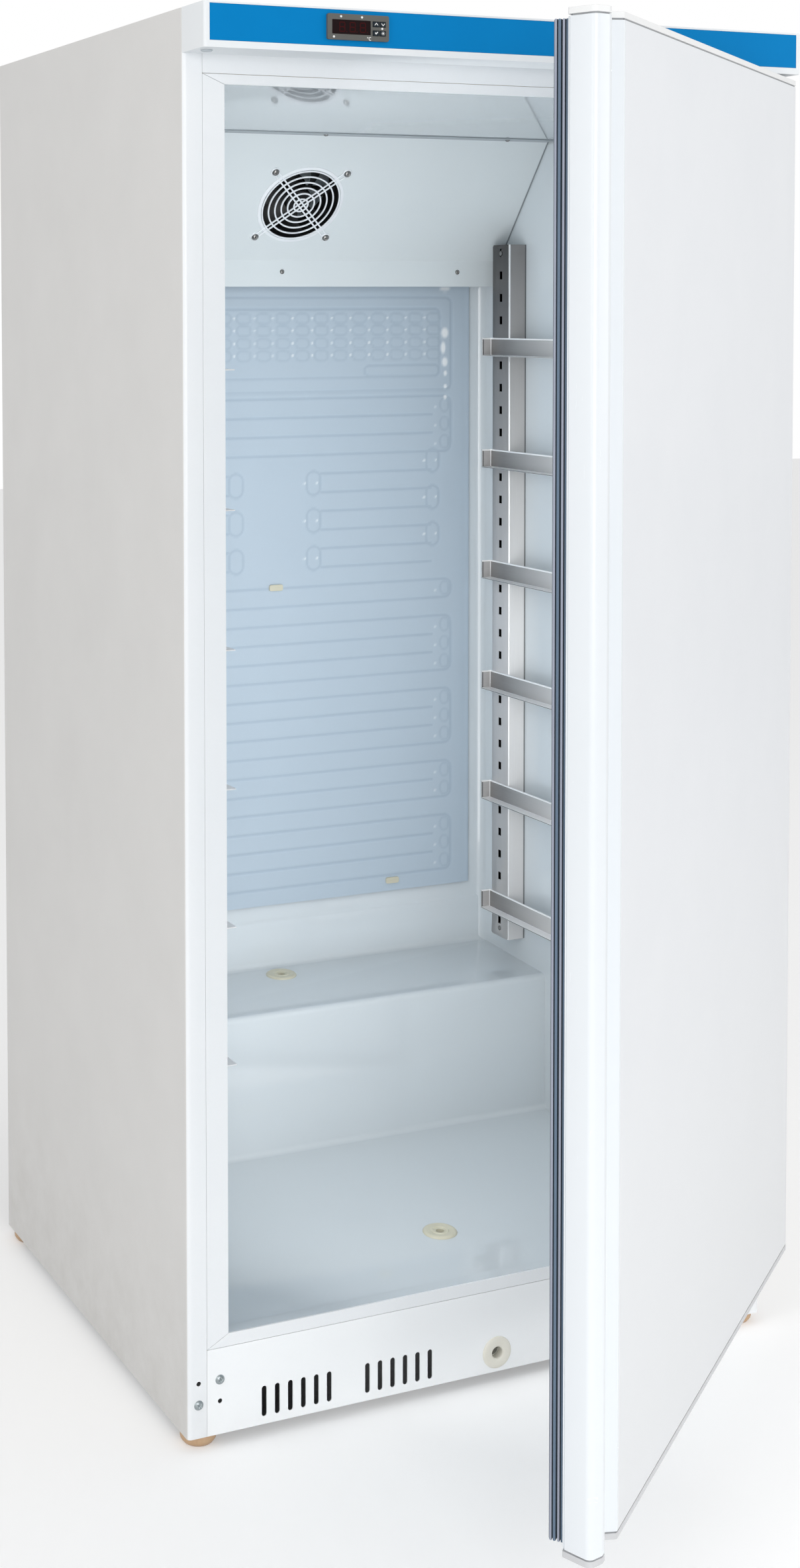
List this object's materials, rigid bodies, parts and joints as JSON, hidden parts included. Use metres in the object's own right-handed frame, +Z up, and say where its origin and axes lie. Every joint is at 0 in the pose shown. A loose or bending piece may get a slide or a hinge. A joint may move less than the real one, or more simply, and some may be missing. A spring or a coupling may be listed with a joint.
{
  "type": "bakery refrigerator",
  "caption": "Upright single-door bakery refrigerator with tray runners, fan cover, header controller and rear condenser; its door swings open.",
  "frame": {"origin": "floor level, at the middle of the cabinet's footprint without door and header", "axes": "+Z up, +Y to the back, +X to the right as seen from the front; the door is at -Y"},
  "size_m": [0.9097, 1.3618, 1.85],
  "materials": {
    "side_steel": "grey painted steel with a fine stipple",
    "white_steel": "white painted steel, satin",
    "grey_steel": "grey painted steel",
    "bare_steel": "zinc plated sheet",
    "stainless": "brushed stainless steel",
    "liner_plastic": "white moulded plastic, glossy",
    "foam": null,
    "header_plastic": "white moulded plastic",
    "blue_plastic": "blue strip, plain",
    "grey_plastic": "grey moulded plastic",
    "display": "dark red window",
    "key_rubber": "grey keys",
    "cover_steel": "white painted sheet",
    "grille_plastic": "white plastic",
    "black_plastic": "black plastic",
    "motor_steel": "dark painted metal",
    "screw_steel": "bright plated steel",
    "evaporator_metal": "painted roll-bonded aluminium",
    "ivory_plastic": "ivory plastic",
    "tube_plastic": "clouded plastic tube",
    "black_steel": "black painted steel",
    "black_rubber": "rubber",
    "copper": null,
    "foot_plastic": "beige plastic",
    "door_steel": "white painted steel",
    "door_plastic": "white extruded plastic",
    "cap_plastic": "white moulded plastic",
    "gasket_rubber": "grey flexible profile"
  },
  "bodies": {
    "cabinet": {"side_panel_left": "side_steel", "side_panel_right": "side_steel", "top_panel": "white_steel", "back_panel": "grey_steel", "base_pan": "bare_steel", "underside_panel": "bare_steel", "plinth_panel": "white_steel", "top_rail": "white_steel", "front_frame": "white_steel", "inner_liner": "liner_plastic", "cabinet_insulation": "foam", "header_box": "header_plastic", "header_strip": "blue_plastic", "header_plug": "grey_plastic", "controller_case": "grey_plastic", "display_window": "display", "fan_cover": "cover_steel", "fan_grille": "grille_plastic", "fan_housing": "black_plastic", "fan_motor": "motor_steel", "fan_screws": "screw_steel", "cover_screws": "screw_steel", "evaporator_plate": "evaporator_metal", "evaporator_clips": "ivory_plastic", "tray_uprights": "stainless", "upright_screws": "screw_steel", "tray_runners_1": "stainless", "tray_runners_2": "stainless", "tray_runners_3": "stainless", "tray_runners_4": "stainless", "tray_runners_5": "stainless", "tray_runners_6": "stainless", "drain_plugs": "ivory_plastic", "drain_bushing": "ivory_plastic", "drain_tubes": "tube_plastic", "evaporation_pan": "black_plastic", "compressor": "black_steel", "compressor_mounts": "black_rubber", "compressor_relay": "black_plastic", "condenser": "black_steel", "condenser_clips": "black_plastic", "refrigerant_lines": "copper", "mains_terminal_box": "black_plastic", "feet": "foot_plastic", "hinge_bracket_top": "bare_steel", "hinge_bracket_bottom": "bare_steel", "hinge_screws": "screw_steel"},
    "door": {"door_outer_panel": "door_steel", "door_handle_profile": "door_plastic", "door_cap_top": "cap_plastic", "door_cap_bottom": "cap_plastic", "door_inner_panel": "liner_plastic", "door_insulation": "foam", "door_gasket": "gasket_rubber", "hinge_bushes": "cap_plastic"},
    "impeller": {"fan_impeller": "black_plastic"},
    "key_up": {"key_up": "key_rubber"},
    "key_down": {"key_down": "key_rubber"},
    "key_set": {"key_set": "key_rubber"},
    "key_timer": {"key_timer": "key_rubber"}
  },
  "joints": [
    {"name": "door_swing", "type": "hinge", "parent": "cabinet", "child": "door", "pos_m": [0.433, -0.403, 0.125], "axis": [0, 0, 1], "range_deg": [-39.25, 70.75]},
    {"name": "impeller_spin", "type": "hinge", "parent": "cabinet", "child": "impeller", "pos_m": [-0.01, 0.20098, 1.63481], "axis": [0, -0.7837, -0.6211], "continuous": true},
    {"name": "key_up_press", "type": "slide", "parent": "cabinet", "child": "key_up", "axis": [0, 1, 0], "range_m": [0, 0.0008], "stiffness_N_per_m": 400, "springref_m": -0.0005},
    {"name": "key_down_press", "type": "slide", "parent": "cabinet", "child": "key_down", "axis": [0, 1, 0], "range_m": [0, 0.0008], "stiffness_N_per_m": 400, "springref_m": -0.0005},
    {"name": "key_set_press", "type": "slide", "parent": "cabinet", "child": "key_set", "axis": [0, 1, 0], "range_m": [0, 0.0008], "stiffness_N_per_m": 400, "springref_m": -0.0005},
    {"name": "key_timer_press", "type": "slide", "parent": "cabinet", "child": "key_timer", "axis": [0, 1, 0], "range_m": [0, 0.0008], "stiffness_N_per_m": 400, "springref_m": -0.0005}
  ]
}
